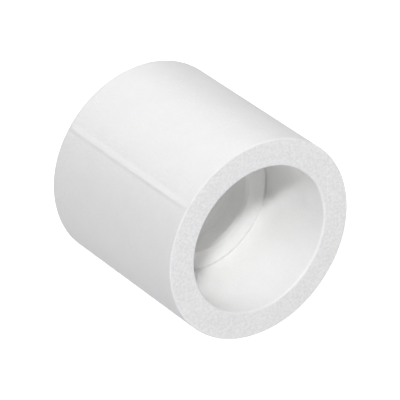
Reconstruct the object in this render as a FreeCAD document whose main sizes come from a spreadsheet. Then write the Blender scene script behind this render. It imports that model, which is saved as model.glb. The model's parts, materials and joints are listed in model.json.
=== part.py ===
import FreeCAD, Part
import os
import Sketcher

# Reducing coupling for 32 mm and 25 mm plastic pipe, joined by socket fusion.
#
# coupling_body   the straight moulded sleeve: two 32 mm sockets with a stop ring between them
# reducing_bush   the bush fused into the far socket, which brings that end down to 25 mm pipe
#
# Frame, in millimetres: the coupling lies on its side on Z = 0, its bore runs along Y, the open
# 32 mm socket faces -Y and the bush faces +Y. The origin is under the middle of the length.

DIMENSIONS = {
    # sleeve
    "outer_diameter": 43.0,
    "coupling_length": 41.0,
    "socket_depth": 18.5,
    "socket_taper_depth": 5.0,
    "socket_mouth_diameter": 31.2,
    "socket_root_diameter": 30.6,
    "stop_bore_diameter": 21.0,
    "stop_edge_chamfer": 0.6,
    "lead_in_chamfer": 0.45,
    "socket_root_radius": 0.3,
    "hidden_root_chamfer": 0.3,
    "near_rim_chamfer": 0.35,
    "far_rim_radius": 0.9,
    # parting line left by the two halves of the mould
    "parting_line_height": 0.1,
    "parting_line_ramp_width": 1.2,
    "parting_line_step_width": 0.4,
    "parting_line_foot_depth": 0.06,
    "parting_line_depth": 0.5,
    "parting_line_margin": 1.2,
    "parting_line_angle": 36.0,
    # bush
    "bush_socket_depth": 16.0,
    "bush_taper_depth": 4.0,
    "bush_socket_mouth_diameter": 24.1,
    "bush_socket_root_diameter": 23.8,
    "bush_bore_diameter": 21.0,
    "bush_lead_in_chamfer": 0.45,
    "bush_nose_chamfer": 1.4,
    "bush_rim_chamfer": 0.3,
    "fusion_gap": 0.02,
}

doc = FreeCAD.newDocument("ReducingCoupling")
sheet = doc.addObject("Spreadsheet::Sheet", "Dimensions")
for row, (alias, value) in enumerate(DIMENSIONS.items(), start=1):
    sheet.set(f"A{row}", alias)
    sheet.set(f"B{row}", str(value))
    sheet.setAlias(f"B{row}", alias)
doc.recompute()


def cell(alias):
    """The expression that reads one driving dimension."""
    return f"Dimensions.{alias}"


def new_body(label):
    """A body whose bore lies along Y at the height of the sleeve's own axis."""
    body = doc.addObject("PartDesign::Body", label)
    body.Label = label
    body.Placement = FreeCAD.Placement(FreeCAD.Vector(0, 0, 1), FreeCAD.Rotation(FreeCAD.Vector(0, 1, 0), 1))
    body.setExpression("Placement.Base.z", f"{cell('outer_diameter')} / 2")
    body.setExpression("Placement.Rotation.Angle", cell("parting_line_angle"))
    return body


def sketch_on(body, role, name):
    """An empty sketch on one of the body's own origin planes."""
    plane = next(f for f in body.Origin.OriginFeatures if f.Role == role)
    sketch = body.newObject("Sketcher::SketchObject", name)
    sketch.AttachmentSupport = [(plane, "")]
    sketch.MapMode = "FlatFace"
    return sketch


def add_profile(sketch, corners):
    """A closed outline of straight lines, each corner held by two bound distances from the origin.

    corners is a list of (across, along) pairs: the expressions of the corner's two coordinates.
    """
    origin = (-1, 1)
    values = [tuple(evaluate(expression) for expression in corner) for corner in corners]
    points = [FreeCAD.Vector(across, along, 0) for across, along in values]
    count = len(points)
    for i in range(count):
        sketch.addGeometry(Part.LineSegment(points[i], points[(i + 1) % count]), False)
    for i in range(count):
        sketch.addConstraint(Sketcher.Constraint("Coincident", i, 2, (i + 1) % count, 1))
    for i, corner in enumerate(corners):
        for kind, expression, value in zip(("DistanceX", "DistanceY"), corner, values[i]):
            number = sketch.addConstraint(Sketcher.Constraint(kind, *origin, i, 1, value))
            sketch.setExpression(f"Constraints[{number}]", expression)


def evaluate(expression):
    """The present value of an expression of sheet cells."""
    return float(sheet.evalExpression(expression))


def revolve(body, sketch, name):
    """A solid of revolution about the bore's axis, which is the sketch's vertical axis."""
    turned = body.newObject("PartDesign::Revolution", name)
    turned.Profile = sketch
    turned.ReferenceAxis = (sketch, ["V_Axis"])
    turned.Angle = 360.0
    doc.recompute()
    return turned


def ring_edges(feature, radius, along):
    """Names of the feature's circular edges of this radius at this place along the bore."""
    found = []
    for i, edge in enumerate(feature.Shape.Edges, start=1):
        circle = edge.Curve
        if not isinstance(circle, Part.Circle):
            continue
        if abs(circle.Radius - radius) < 1e-3 and abs(circle.Center.y - along) < 1e-3:
            found.append(f"Edge{i}")
    if not found:
        raise ValueError(f"{feature.Name} has no ring edge of radius {radius} at {along}")
    return found


def dress(body, kind, name, size_name, size_alias, rings):
    """Rounds or chamfers ring edges, each given as (radius, place along the bore) expressions."""
    base = body.Tip
    edges = []
    for radius, along in rings:
        edges += ring_edges(base, evaluate(radius), evaluate(along))
    dressed = body.newObject(kind, name)
    dressed.Base = (base, edges)
    dressed.setExpression(size_name, cell(size_alias))
    doc.recompute()
    return dressed


def fillet(body, name, size_alias, rings):
    return dress(body, "PartDesign::Fillet", name, "Radius", size_alias, rings)


def chamfer(body, name, size_alias, rings):
    return dress(body, "PartDesign::Chamfer", name, "Size", size_alias, rings)


# Places along the bore, measured from the middle of the length.
NEAR_END = f"-{cell('coupling_length')} / 2"
FAR_END = f"{cell('coupling_length')} / 2"
NEAR_STOP = f"{cell('socket_depth')} - {cell('coupling_length')} / 2"
FAR_STOP = f"{cell('coupling_length')} / 2 - {cell('socket_depth')}"
NEAR_TAPER = f"{cell('socket_taper_depth')} - {cell('coupling_length')} / 2"
FAR_TAPER = f"{cell('coupling_length')} / 2 - {cell('socket_taper_depth')}"

# Radii that more than one feature uses.
OUTSIDE = f"{cell('outer_diameter')} / 2"
SOCKET_MOUTH = f"{cell('socket_mouth_diameter')} / 2"
SOCKET_ROOT = f"{cell('socket_root_diameter')} / 2"
STOP_BORE = f"{cell('stop_bore_diameter')} / 2"


def make_coupling_body():
    body = new_body("coupling_body")

    # Half section of the sleeve. Each socket narrows a little behind its mouth, which centres the
    # heated pipe end, then grips it on a parallel wall up to the stop ring in the middle.
    section = sketch_on(body, "XY_Plane", "sleeve_section")
    add_profile(section, [
        (OUTSIDE, NEAR_END),
        (OUTSIDE, FAR_END),
        (SOCKET_MOUTH, FAR_END),
        (SOCKET_ROOT, FAR_TAPER),
        (SOCKET_ROOT, FAR_STOP),
        (STOP_BORE, FAR_STOP),
        (STOP_BORE, NEAR_STOP),
        (SOCKET_ROOT, NEAR_STOP),
        (SOCKET_ROOT, NEAR_TAPER),
        (SOCKET_MOUTH, NEAR_END),
    ])
    revolve(body, section, "sleeve")

    chamfer(body, "near_rim", "near_rim_chamfer", [(OUTSIDE, NEAR_END)])
    fillet(body, "far_rim", "far_rim_radius", [(OUTSIDE, FAR_END)])
    chamfer(body, "lead_ins", "lead_in_chamfer", [(SOCKET_MOUTH, NEAR_END), (SOCKET_MOUTH, FAR_END)])
    fillet(body, "open_socket_root", "socket_root_radius", [(SOCKET_ROOT, NEAR_STOP)])
    chamfer(body, "hidden_socket_root", "hidden_root_chamfer", [(SOCKET_ROOT, FAR_STOP)])
    chamfer(body, "stop_edge", "stop_edge_chamfer", [(STOP_BORE, NEAR_STOP)])

    # The mould's halves meet on two opposite lines of the outside wall, a hair out of line with
    # each other. On each line one half's edge stands proud: seen along the bore it is a low ramp
    # up to the line and a steep step down. Its feet end inside the wall.
    bare_volume = body.Tip.Shape.Volume
    strip = sketch_on(body, "XZ_Plane", "parting_line_strip")
    crest = f"({OUTSIDE} + {cell('parting_line_height')})"
    foot = f"({OUTSIDE} - {cell('parting_line_foot_depth')})"
    root = f"({OUTSIDE} - {cell('parting_line_depth')})"
    ramp = cell("parting_line_ramp_width")
    step = cell("parting_line_step_width")
    add_profile(strip, [
        (f"-{crest}", "0"),
        (f"-{foot}", ramp),
        (f"-{root}", ramp),
        (f"-{root}", f"-{step}"),
        (f"-{foot}", f"-{step}"),
    ])
    ridge = body.newObject("PartDesign::Pad", "parting_line")
    ridge.Profile = strip
    ridge.Midplane = True
    ridge.setExpression("Length", f"{cell('coupling_length')} - 2 * {cell('parting_line_margin')}")
    doc.recompute()
    both = body.newObject("PartDesign::PolarPattern", "parting_lines")
    both.Originals = [ridge]
    both.Axis = (strip, ["N_Axis"])
    both.Angle = 360.0
    both.Occurrences = 2
    body.Tip = both
    doc.recompute()
    if not body.Shape.Volume > bare_volume:
        raise ValueError("the parting lines add nothing to the sleeve")
    return body


def make_reducing_bush():
    body = new_body("reducing_bush")

    # The outside follows the socket that it is fused into, and its nose stands against the stop
    # ring. Its own socket takes the smaller pipe and ends at an inner lip.
    gap = cell("fusion_gap")
    nose = f"{FAR_STOP} + {gap}"
    lip_face = f"{FAR_END} - {cell('bush_socket_depth')}"
    inner_taper = f"{FAR_END} - {cell('bush_taper_depth')}"
    outer_mouth = f"{SOCKET_MOUTH} - {gap}"
    outer_root = f"{SOCKET_ROOT} - {gap}"
    inner_mouth = f"{cell('bush_socket_mouth_diameter')} / 2"
    inner_root = f"{cell('bush_socket_root_diameter')} / 2"
    bore = f"{cell('bush_bore_diameter')} / 2"
    section = sketch_on(body, "XY_Plane", "bush_section")
    add_profile(section, [
        (outer_root, nose),
        (outer_root, FAR_TAPER),
        (outer_mouth, FAR_END),
        (inner_mouth, FAR_END),
        (inner_root, inner_taper),
        (inner_root, lip_face),
        (bore, lip_face),
        (bore, nose),
    ])
    revolve(body, section, "bush")

    chamfer(body, "nose_chamfer", "bush_nose_chamfer", [(outer_root, nose)])
    chamfer(body, "rim_chamfer", "bush_rim_chamfer", [(outer_mouth, FAR_END)])
    chamfer(body, "bush_lead_in", "bush_lead_in_chamfer", [(inner_mouth, FAR_END)])
    return body


def check(bodies):
    """Stops if anything in the document failed, or a sub-part isn't one valid closed solid."""
    for item in doc.Objects:
        if "Invalid" in item.State or "Error" in item.State:
            raise ValueError(f"{item.Name} failed: {item.State}")
    for body in bodies:
        shape = body.Shape
        if shape.isNull() or not shape.isValid() or len(shape.Solids) != 1:
            raise ValueError(f"{body.Label} isn't one valid solid")
        print(f"{body.Label}: {shape.Volume:.1f} mm3, {len(shape.Faces)} faces, {shape.BoundBox}")


bodies = [make_coupling_body(), make_reducing_bush()]
doc.recompute()
check(bodies)
overlap = bodies[0].Shape.common(bodies[1].Shape).Volume
print(f"overlap of sleeve and bush: {overlap:.4f} mm3")

os.makedirs("parts", exist_ok=True)
for body in bodies:
    body.Shape.exportStep(f"parts/{body.Label}.step")
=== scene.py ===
import json
import math

import bpy
from mathutils import Matrix, Vector


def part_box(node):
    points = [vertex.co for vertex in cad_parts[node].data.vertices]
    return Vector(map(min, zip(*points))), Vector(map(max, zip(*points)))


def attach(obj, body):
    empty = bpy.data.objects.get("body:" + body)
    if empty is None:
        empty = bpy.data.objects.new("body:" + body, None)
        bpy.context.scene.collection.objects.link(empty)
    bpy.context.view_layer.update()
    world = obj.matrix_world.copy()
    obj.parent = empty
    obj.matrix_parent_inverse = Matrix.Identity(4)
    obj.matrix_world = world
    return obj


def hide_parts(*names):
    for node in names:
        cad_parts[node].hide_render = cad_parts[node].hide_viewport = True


# A white plastic reducing coupling, lying on its side with its open socket towards -Y.
# Each CAD node is replaced by a finely turned piece with the same outside box. The pieces add rounding
# on every edge, a dished shoulder with a groove round it, and taller parting lines.

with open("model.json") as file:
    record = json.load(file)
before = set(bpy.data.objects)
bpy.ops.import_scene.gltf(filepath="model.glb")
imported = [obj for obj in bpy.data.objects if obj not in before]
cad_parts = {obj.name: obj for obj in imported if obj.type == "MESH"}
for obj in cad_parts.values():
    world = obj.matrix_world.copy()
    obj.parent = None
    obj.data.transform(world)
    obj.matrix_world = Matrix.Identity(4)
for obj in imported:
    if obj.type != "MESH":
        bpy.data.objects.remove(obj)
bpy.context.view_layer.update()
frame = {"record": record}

MM = 0.001


# ---------------------------------------------------------------- sizes, all in metres

def mount_radius(name):
    """The radius that the record gives for a mount."""
    mount = next(m for m in frame["record"]["mounts"] if m["name"] == name)
    return mount["dims"]["r_mm"] * MM


sleeve_low, sleeve_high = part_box("coupling_body")
bush_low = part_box("reducing_bush")[0]

OUTSIDE = (sleeve_high[0] - sleeve_low[0]) / 2
AXIS_HEIGHT = (sleeve_high[2] + sleeve_low[2]) / 2
NEAR_END = sleeve_low[1]
FAR_END = sleeve_high[1]
BUSH_NOSE = bush_low[1]

# Both ends of the sleeve: a socket that narrows towards its root, and a lead-in at its mouth.
SOCKET_DEPTH = 18.5 * MM
SOCKET_TAPER_DEPTH = 5.0 * MM
SOCKET_ROOT = mount_radius("large_socket")
SOCKET_MOUTH = SOCKET_ROOT + 0.3 * MM
LEAD_IN = 0.45 * MM
FINE_EDGE = 0.12 * MM

# Roundings of the sleeve's ends. The near socket's mouth has one arc in place of the lead-in.
NEAR_MOUTH = SOCKET_MOUTH + 0.1 * MM
NEAR_MOUTH_ROUNDING = 0.5 * MM
NEAR_RIM = 0.25 * MM
FAR_RIM = 0.9 * MM
FAR_ROOT = 0.3 * MM

# The stop ring. Its near shoulder is flat by the bore, then rises to a crest beside the root groove.
STOP_BORE = 10.5 * MM
STOP_EDGE = 0.6 * MM
STOP_EDGE_ROUNDING = 0.5 * MM
STOP_FLAT = STOP_BORE + 2.0 * MM
STOP_DISH_ROUNDING = 4.0 * MM
STOP_RISE = 0.45 * MM
STOP_CREST_ROUNDING = 0.3 * MM
NEAR_STOP = NEAR_END + SOCKET_DEPTH
FAR_STOP = FAR_END - SOCKET_DEPTH

ROOT_GROOVE = 0.7 * MM
ROOT_GROOVE_DEPTH = 0.4 * MM
ROOT_GROOVE_FLOOR = 0.3 * MM
ROOT_GROOVE_ROUNDING = 0.2 * MM

# The bush. Its bore and the stop ring's meet edge to edge, so those two edges stay almost sharp.
SEAT_EDGE = 0.02 * MM
BUSH_GAP = 0.02 * MM
BUSH_ROOT = mount_radius("small_socket")
BUSH_MOUTH = BUSH_ROOT + 0.15 * MM
BUSH_SOCKET_DEPTH = 16.0 * MM
BUSH_TAPER_DEPTH = 4.0 * MM
BUSH_EDGE = 0.1 * MM
BUSH_LIP_ROUNDING = 0.4 * MM
BUSH_NOSE_CHAMFER = 1.4 * MM
BUSH_RIM_CHAMFER = 0.3 * MM

# The two parting lines, opposite each other. Each starts and ends a little inside the wall's ends.
PARTING_ANGLE = math.radians(143.9)
PARTING_RAMP = 1.4 * MM
PARTING_STEP = 0.75 * MM
PARTING_HEIGHT = 0.17 * MM
PARTING_MARGIN = 0.5 * MM
PARTING_FADE = 1.0 * MM

# How finely the pieces are turned: columns round the bore, more of them beside each parting line, and
# the steps in a rounding of 1 mm for each radian that it turns.
SLEEVE_COLUMNS = 240
BUSH_COLUMNS = 200
PARTING_COLUMNS = 22
PARTING_REACH = math.radians(5.0)
ROUNDING_STEPS = 6

# How near a point has to lie to count as on the outside wall, or on an end.
WALL_TOLERANCE = 0.01 * MM
END_TOLERANCE = 0.1 * MM

STUDIO_RADIUS = 4.0
LIGHT_DISTANCE = 1.5
DAYLIGHT = (0.99, 0.99, 1.02)


# ---------------------------------------------------------------- turned pieces

def rounded_outline(corners, hold=0.12 * MM, longest=2.5 * MM):
    """A closed outline through corners (radius from the bore's axis, place along it, corner radius).

    Each corner becomes an arc. A point at the distance hold past each arc keeps the flat stretches
    evenly shaded, and no stretch is longer than longest.
    """
    bends = []
    count = len(corners)
    for i, (r, y, fillet) in enumerate(corners):
        here = Vector((r, y))
        before = Vector(corners[i - 1][:2]) - here
        after = Vector(corners[(i + 1) % count][:2]) - here
        half = before.angle(after) / 2
        setback = fillet / math.tan(half)
        inward = (before.normalized() + after.normalized()).normalized()
        centre = here + inward * (fillet / math.sin(half))
        start = here + before.normalized() * setback - centre
        turn = start.angle_signed(here + after.normalized() * setback - centre)
        steps = max(3, round(abs(turn) * math.sqrt(fillet / MM) * ROUNDING_STEPS))
        turns = [Matrix.Rotation(-turn * k / steps, 2) for k in range(steps + 1)]
        bends.append([centre + t @ start for t in turns])
    outline = []
    for i, bend in enumerate(bends):
        outline += bend
        start = bend[-1]
        run = bends[(i + 1) % count][0] - start
        if run.length > 4 * hold:
            middle = run.length - 2 * hold
            parts = max(1, math.ceil(middle / longest))
            along = run.normalized()
            outline += [start + along * (hold + middle * k / parts) for k in range(parts + 1)]
    return outline


def turning_angles(count, fine_at=(), fine_half_width=0.0, fine_steps=0):
    """Evenly spaced angles round the bore, with extra ones close together round some of them."""
    angles = {round(math.tau * k / count, 6) for k in range(count)}
    for middle in fine_at:
        near = {a for a in angles if abs(math.remainder(a - middle, math.tau)) < fine_half_width}
        angles -= near
        for k in range(-fine_steps, fine_steps + 1):
            angles.add(round((middle + fine_half_width * k / fine_steps) % math.tau, 6))
    return sorted(angles)


def turned_piece(name, outline, angles, lift=lambda r, y, angle: 0.0):
    """A smooth closed mesh made by turning an outline about the bore. lift adds to a point's radius."""
    verts = []
    for angle in angles:
        for r, y in outline:
            reach = r + lift(r, y, angle)
            verts.append((reach * math.cos(angle), y, AXIS_HEIGHT + reach * math.sin(angle)))
    rows = len(outline)
    columns = len(angles)
    faces = []
    for c in range(columns):
        here = c * rows
        there = (c + 1) % columns * rows
        for k in range(rows):
            up = (k + 1) % rows
            faces.append((here + k, here + up, there + up, there + k))
    mesh = bpy.data.meshes.new(name)
    mesh.from_pydata(verts, [], faces)
    mesh.validate()
    mesh.shade_smooth()
    piece = bpy.data.objects.new(name, mesh)
    bpy.context.scene.collection.objects.link(piece)
    return piece


def parting_ridge(r, y, angle):
    """Height of the parting line above the outside wall, on two opposite sides.

    On each, one half of the mould stood a hair proud: a soft ramp up to the line and a short step down.
    """
    if r < OUTSIDE - WALL_TOLERANCE:
        return 0.0
    to_end = min(y - NEAR_END, FAR_END - y)
    fade = min(1.0, max(0.0, (to_end - PARTING_MARGIN) / PARTING_FADE))
    off = math.remainder(angle - PARTING_ANGLE, math.pi) * OUTSIDE
    share = max(0.0, 1 + off / PARTING_RAMP if off < 0 else 1 - off / PARTING_STEP)
    return PARTING_HEIGHT * fade * share * share * (3 - 2 * share)


def end_faces(piece, material):
    """Gives the flat ends of a piece their own finish."""
    piece.data.materials.append(material)
    for face in piece.data.polygons:
        flat = abs(face.normal.y) > 0.99
        to_end = min(abs(face.center.y - NEAR_END), abs(face.center.y - FAR_END))
        if flat and to_end < END_TOLERANCE:
            face.material_index = 1


def make_sleeve(wall, face):
    """The moulded body, turned from its outside to the far socket, the stop ring and the near socket."""
    groove_floor = NEAR_STOP - STOP_RISE + ROOT_GROOVE_DEPTH
    corners = [
        (OUTSIDE, NEAR_END, NEAR_RIM),
        (OUTSIDE, FAR_END, FAR_RIM),
        (SOCKET_MOUTH + LEAD_IN, FAR_END, FINE_EDGE),
        (SOCKET_MOUTH, FAR_END - LEAD_IN, FINE_EDGE),
        (SOCKET_ROOT, FAR_END - SOCKET_TAPER_DEPTH, FINE_EDGE),
        (SOCKET_ROOT, FAR_STOP, FAR_ROOT),
        (STOP_BORE, FAR_STOP, SEAT_EDGE),
        (STOP_BORE, NEAR_STOP + STOP_EDGE, STOP_EDGE_ROUNDING),
        (STOP_BORE + STOP_EDGE, NEAR_STOP, STOP_EDGE_ROUNDING),
        (STOP_FLAT, NEAR_STOP, STOP_DISH_ROUNDING),
        (SOCKET_ROOT - ROOT_GROOVE, NEAR_STOP - STOP_RISE, STOP_CREST_ROUNDING),
        (SOCKET_ROOT - ROOT_GROOVE_FLOOR, groove_floor, ROOT_GROOVE_ROUNDING),
        (SOCKET_ROOT, groove_floor, FINE_EDGE),
        (SOCKET_ROOT, NEAR_END + SOCKET_TAPER_DEPTH, FINE_EDGE),
        (NEAR_MOUTH, NEAR_END, NEAR_MOUTH_ROUNDING),
    ]
    parting_lines = [PARTING_ANGLE % math.tau, (PARTING_ANGLE - math.pi) % math.tau]
    angles = turning_angles(SLEEVE_COLUMNS, parting_lines, PARTING_REACH, PARTING_COLUMNS)
    piece = turned_piece("sleeve", rounded_outline(corners), angles, parting_ridge)
    piece.data.materials.append(wall)
    end_faces(piece, face)
    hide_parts("coupling_body")
    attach(piece, "root")


def make_bush(wall, face):
    """The bush in the far socket, turned from its nose along its outside and back through its bore."""
    mouth = SOCKET_MOUTH - BUSH_GAP
    root = SOCKET_ROOT - BUSH_GAP
    inner_lip = FAR_END - BUSH_SOCKET_DEPTH
    corners = [
        (root - BUSH_NOSE_CHAMFER, BUSH_NOSE, BUSH_EDGE),
        (root, BUSH_NOSE + BUSH_NOSE_CHAMFER, BUSH_EDGE),
        (root, FAR_END - SOCKET_TAPER_DEPTH, BUSH_EDGE),
        (mouth, FAR_END - BUSH_RIM_CHAMFER, BUSH_EDGE),
        (mouth - BUSH_RIM_CHAMFER, FAR_END, BUSH_EDGE),
        (BUSH_MOUTH + LEAD_IN, FAR_END, BUSH_EDGE),
        (BUSH_MOUTH, FAR_END - LEAD_IN, BUSH_EDGE),
        (BUSH_ROOT, FAR_END - BUSH_TAPER_DEPTH, BUSH_EDGE),
        (BUSH_ROOT, inner_lip, BUSH_LIP_ROUNDING),
        (STOP_BORE, inner_lip, BUSH_LIP_ROUNDING),
        (STOP_BORE, BUSH_NOSE, SEAT_EDGE),
    ]
    piece = turned_piece("bush", rounded_outline(corners), turning_angles(BUSH_COLUMNS))
    piece.data.materials.append(wall)
    end_faces(piece, face)
    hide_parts("reducing_bush")
    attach(piece, "root")


# ---------------------------------------------------------------- materials

def add_node(tree, kind, **settings):
    """A new shader node. Each setting goes to the input of that name, or else to the node itself."""
    node = tree.nodes.new(kind)
    for key, value in settings.items():
        if key in node.inputs:
            node.inputs[key].default_value = value
        else:
            setattr(node, key, value)
    return node


def moulded_plastic(name, colour, shade, roughness, grain_height, speckle):
    """White polypropylene: faint clouding, a fine moulded grain and a little light inside it.

    The colour varies between colour and shade. speckle, from 0 to 1, is how much of that follows the
    grain and not the clouds.
    """
    material = bpy.data.materials.new(name)
    material.use_nodes = True
    tree = material.node_tree
    link = tree.links.new
    shader = tree.nodes["Principled BSDF"]
    place = add_node(tree, "ShaderNodeTexCoord")
    in_millimetres = add_node(tree, "ShaderNodeVectorMath", operation="SCALE", Scale=1 / MM)
    link(place.outputs["Object"], in_millimetres.inputs[0])

    def noise(size, detail, rough):
        """Noise with lumps of about this size in millimetres."""
        node = add_node(tree, "ShaderNodeTexNoise", Scale=1 / size, Detail=detail, Roughness=rough)
        link(in_millimetres.outputs["Vector"], node.inputs["Vector"])
        return node.outputs["Fac"]

    clouds = noise(size=6.0, detail=3.0, rough=0.55)
    patches = noise(size=2.4, detail=4.0, rough=0.6)
    grain = noise(size=0.6, detail=1.5, rough=0.6)

    blend = add_node(tree, "ShaderNodeMix", data_type="FLOAT")
    blend.inputs[0].default_value = speckle
    link(clouds, blend.inputs[2])
    link(grain, blend.inputs[3])
    # The noise stays mostly inside this range, which is spread over the whole tint.
    spread = add_node(tree, "ShaderNodeMapRange")
    spread.inputs["From Min"].default_value = 0.35
    spread.inputs["From Max"].default_value = 0.65
    link(blend.outputs[0], spread.inputs["Value"])
    tint = add_node(tree, "ShaderNodeMix", data_type="RGBA")
    tint.inputs[6].default_value = (*shade, 1.0)
    tint.inputs[7].default_value = (*colour, 1.0)
    link(spread.outputs["Result"], tint.inputs[0])
    link(tint.outputs[2], shader.inputs["Base Color"])

    # Some patches are a little smoother than the rest, and some a little rougher.
    gloss = add_node(tree, "ShaderNodeMapRange")
    gloss.inputs["To Min"].default_value = roughness - 0.06
    gloss.inputs["To Max"].default_value = roughness + 0.08
    link(patches, gloss.inputs["Value"])
    link(gloss.outputs["Result"], shader.inputs["Roughness"])

    relief = add_node(tree, "ShaderNodeBump", Strength=1.0, Distance=grain_height)
    link(grain, relief.inputs["Height"])
    link(relief.outputs["Normal"], shader.inputs["Normal"])

    shader.inputs["IOR"].default_value = 1.49
    shader.inputs["Subsurface Weight"].default_value = 0.2
    shader.inputs["Subsurface Radius"].default_value = (1.0, 0.95, 0.85)
    shader.inputs["Subsurface Scale"].default_value = 0.9 * MM
    return material


def make_materials():
    """The same plastic twice: smoother on the walls, and with a stronger grain on the flat ends."""
    white = (0.90, 0.898, 0.88)
    shade = (0.873, 0.871, 0.853)
    face_white = (0.93, 0.928, 0.91)
    face_shade = (0.83, 0.828, 0.81)
    wall = moulded_plastic(
        "moulded_wall", white, shade, roughness=0.42, grain_height=0.08 * MM, speckle=0.5)
    face = moulded_plastic(
        "end_face", face_white, face_shade, roughness=0.55, grain_height=0.15 * MM, speckle=0.9)
    return wall, face


# ---------------------------------------------------------------- stage, lights and camera

def make_studio():
    """A pale floor with a dome over it, for the camera only: they neither light nor shade the object."""
    rings = 48
    sides = 96
    rows = [(STUDIO_RADIUS * k / rings, 0.0) for k in range(1, rings + 1)]
    for k in range(1, rings):
        climb = math.pi / 2 * k / rings
        rows.append((STUDIO_RADIUS * math.cos(climb), STUDIO_RADIUS * math.sin(climb)))
    verts = [(0.0, 0.0, 0.0)]
    for radius, height in rows:
        for k in range(sides):
            angle = math.tau * k / sides
            verts.append((radius * math.cos(angle), radius * math.sin(angle), height))
    verts.append((0.0, 0.0, STUDIO_RADIUS))
    faces = [(0, 1 + k, 1 + (k + 1) % sides) for k in range(sides)]
    for row in range(len(rows) - 1):
        low = 1 + row * sides
        for k in range(sides):
            nxt = (k + 1) % sides
            faces.append((low + k, low + sides + k, low + sides + nxt, low + nxt))
    last = 1 + (len(rows) - 1) * sides
    faces += [(last + k, len(verts) - 1, last + (k + 1) % sides) for k in range(sides)]
    mesh = bpy.data.meshes.new("floor")
    mesh.from_pydata(verts, [], faces)
    studio = bpy.data.objects.new("floor", mesh)
    bpy.context.scene.collection.objects.link(studio)
    paper = bpy.data.materials.new("white_paper")
    paper.use_nodes = True
    shader = paper.node_tree.nodes["Principled BSDF"]
    shader.inputs["Base Color"].default_value = (0.9, 0.9, 0.9, 1.0)
    shader.inputs["Roughness"].default_value = 0.9
    shader.inputs["Specular IOR Level"].default_value = 0.1
    shader.inputs["Emission Color"].default_value = (1.0, 1.0, 1.0, 1.0)
    shader.inputs["Emission Strength"].default_value = 0.8
    mesh.materials.append(paper)
    studio.visible_diffuse = False
    studio.visible_glossy = False
    studio.visible_shadow = False


def make_light(name, azimuth, elevation, size, power):
    """A round lamp that faces the object. Angles are in degrees, azimuth from +X towards +Y."""
    data = bpy.data.lights.new(name, "AREA")
    data.shape = "DISK"
    data.size = size
    data.energy = power
    data.color = DAYLIGHT
    lamp = bpy.data.objects.new(name, data)
    turn = math.radians(azimuth)
    lift = math.radians(elevation)
    direction = Vector((
        math.cos(turn) * math.cos(lift),
        math.sin(turn) * math.cos(lift),
        math.sin(lift),
    ))
    lamp.location = Vector((0, 0, AXIS_HEIGHT)) + direction * LIGHT_DISTANCE
    lamp.rotation_euler = direction.to_track_quat("Z", "Y").to_euler()
    bpy.context.scene.collection.objects.link(lamp)


def make_world(from_above, from_below):
    """Even light from above, and from below the light that a white table sends back up."""
    horizon_blur = 0.03
    world = bpy.data.worlds.new("white_room")
    world.use_nodes = True
    tree = world.node_tree
    sky = tree.nodes["Background"]
    sky.inputs["Color"].default_value = (*DAYLIGHT, 1.0)
    place = add_node(tree, "ShaderNodeTexCoord")
    split = add_node(tree, "ShaderNodeSeparateXYZ")
    level = add_node(tree, "ShaderNodeMapRange")
    level.inputs["From Min"].default_value = -horizon_blur
    level.inputs["From Max"].default_value = horizon_blur
    level.inputs["To Min"].default_value = from_below
    level.inputs["To Max"].default_value = from_above
    tree.links.new(place.outputs["Generated"], split.inputs["Vector"])
    tree.links.new(split.outputs["Z"], level.inputs["Value"])
    tree.links.new(level.outputs["Result"], sky.inputs["Strength"])
    bpy.context.scene.world = world


def make_camera():
    """Looks down at the open socket from the left, with a long lens."""
    azimuth = math.radians(35.65)
    elevation = math.radians(29.65)
    distance = 0.724
    aim_right = 0.22 * MM
    aim_up = -0.45 * MM
    ahead = Vector((
        math.sin(azimuth) * math.cos(elevation),
        math.cos(azimuth) * math.cos(elevation),
        -math.sin(elevation),
    ))
    turn = ahead.to_track_quat("-Z", "Y")
    aim = Vector((0, 0, AXIS_HEIGHT)) + turn @ Vector((aim_right, aim_up, 0))
    data = bpy.data.cameras.new("camera")
    data.sensor_width = 36.0
    data.lens = 327.5
    camera = bpy.data.objects.new("camera", data)
    camera.rotation_euler = turn.to_euler()
    camera.location = aim - ahead * distance
    bpy.context.scene.collection.objects.link(camera)
    bpy.context.scene.camera = camera


make_camera()
make_world(from_above=0.026, from_below=0.778)
make_light("key", azimuth=231.7, elevation=42.5, size=0.13, power=14.0)
make_light("front_soft", azimuth=280, elevation=60, size=0.8, power=5.0)
make_light("back_soft", azimuth=40, elevation=60, size=0.8, power=7.1)
make_light("left_soft", azimuth=120, elevation=30, size=0.8, power=2.6)
make_light("far_end_soft", azimuth=84, elevation=29, size=0.8, power=2.1)
make_studio()
wall_plastic, face_plastic = make_materials()
make_sleeve(wall_plastic, face_plastic)
make_bush(wall_plastic, face_plastic)
bpy.context.scene.view_settings.view_transform = "Standard"
